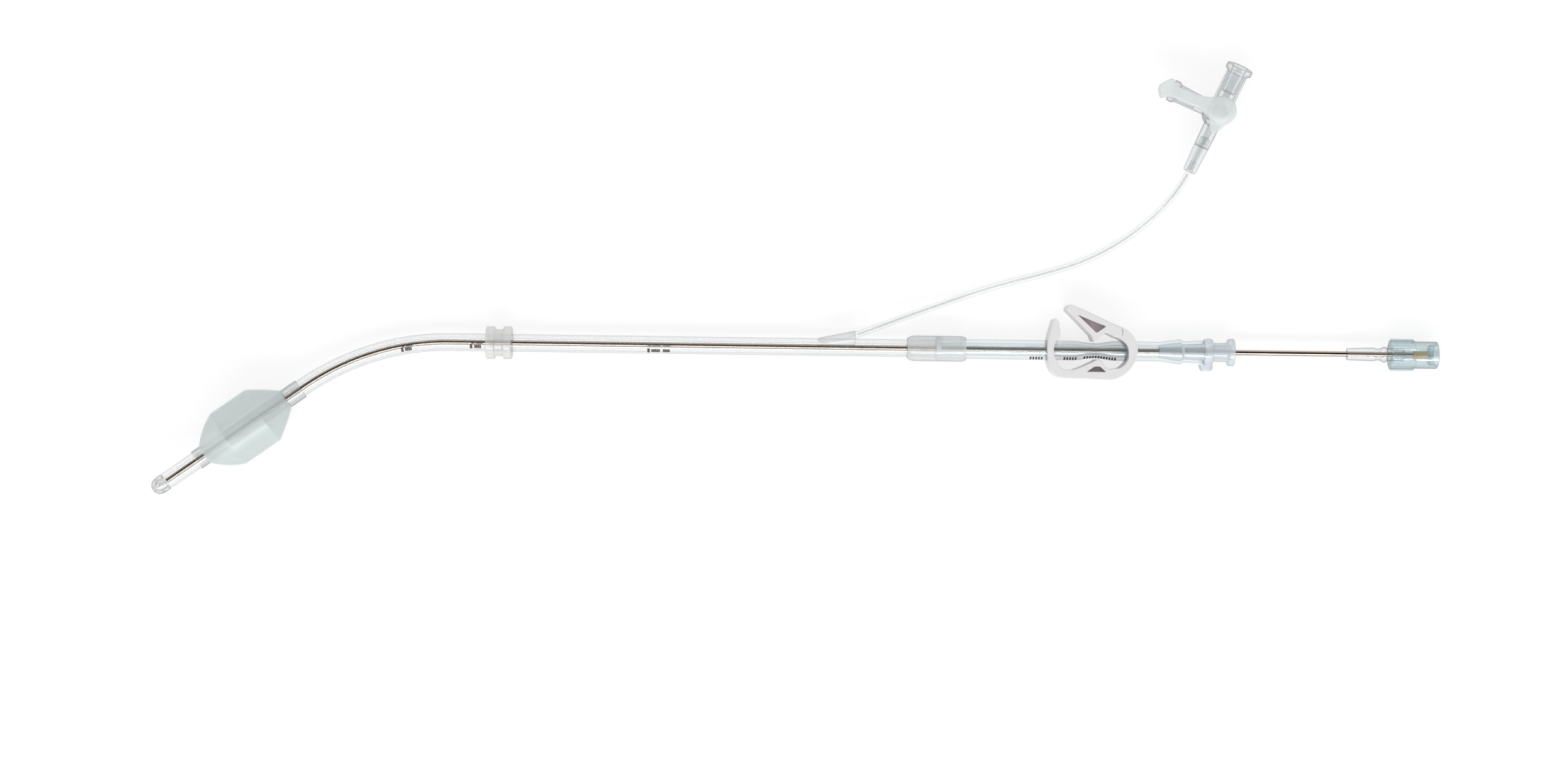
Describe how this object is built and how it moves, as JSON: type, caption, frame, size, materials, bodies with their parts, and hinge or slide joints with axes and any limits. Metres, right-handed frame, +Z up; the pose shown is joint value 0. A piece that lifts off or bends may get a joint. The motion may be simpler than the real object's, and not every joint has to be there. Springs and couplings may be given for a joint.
{
  "type": "cardioplegia cannula",
  "caption": "Balloon-tipped cardioplegia cannula with a preset bend, sliding suture collar, pinch clamp, luer fitting, side line with stopcock, and a steel stylet.",
  "frame": {"origin": "on the table, under the middle of the cannula's box, measured without the side line and its stopcock", "axes": "+X along the straight tube from the bend towards the stylet's handle, +Y to the side on which the side line leaves, +Z up from the table"},
  "size_m": [0.3666, 0.1277, 0.0186],
  "materials": {
    "clear_vinyl": "gloss, clear",
    "cannula_vinyl": "gloss, clear, slightly smoky",
    "balloon_silicone": "satin, translucent",
    "collar_vinyl": "satin, frosted",
    "line_vinyl": "gloss, clear",
    "clear_rigid": "gloss, clear",
    "frosted_rigid": "satin, frosted",
    "white_plastic": "satin",
    "stylet_steel": "drawn",
    "blue_tint": "gloss, clear, blue tint",
    "amber_resin": "gloss"
  },
  "bodies": {
    "cannula": {"cannula_tube": "cannula_vinyl", "tip": "cannula_vinyl", "balloon": "balloon_silicone", "side_joint": "clear_vinyl", "side_line": "line_vinyl", "line_sleeve": "frosted_rigid", "stopcock_body": "clear_rigid", "coupling_sleeve": "clear_vinyl", "extension_tube": "clear_vinyl", "luer_fitting": "clear_rigid", "clamp_frame": "white_plastic"},
    "collar": {"suture_collar": "collar_vinyl"},
    "stopcock_plug": {"stopcock_handle": "frosted_rigid"},
    "lever": {"clamp_lever": "white_plastic"},
    "stylet": {"stylet_rod": "stylet_steel", "stylet_sleeve": "clear_rigid", "stylet_handle": "blue_tint", "resin_plug": "amber_resin"}
  },
  "joints": [
    {"name": "collar_slide", "type": "slide", "parent": "cannula", "child": "collar", "axis": [1, 0, 0], "range_m": [-0.009, 0.086]},
    {"name": "stopcock_turn", "type": "hinge", "parent": "cannula", "child": "stopcock_plug", "pos_m": [0.11947, 0.0843, 0.0105], "axis": [0, 0, 1], "continuous": true},
    {"name": "clamp_close", "type": "hinge", "parent": "cannula", "child": "lever", "pos_m": [0.09112, 0.021, 0.005], "axis": [0, 0, 1], "range_deg": [0, 35], "stiffness_Nm_per_rad": 0.02, "deforming": ["extension_tube"]},
    {"name": "stylet_slide", "type": "slide", "parent": "cannula", "child": "stylet", "axis": [1, 0, 0], "range_m": [0, 0.33], "deforming": ["stylet_rod"]}
  ]
}
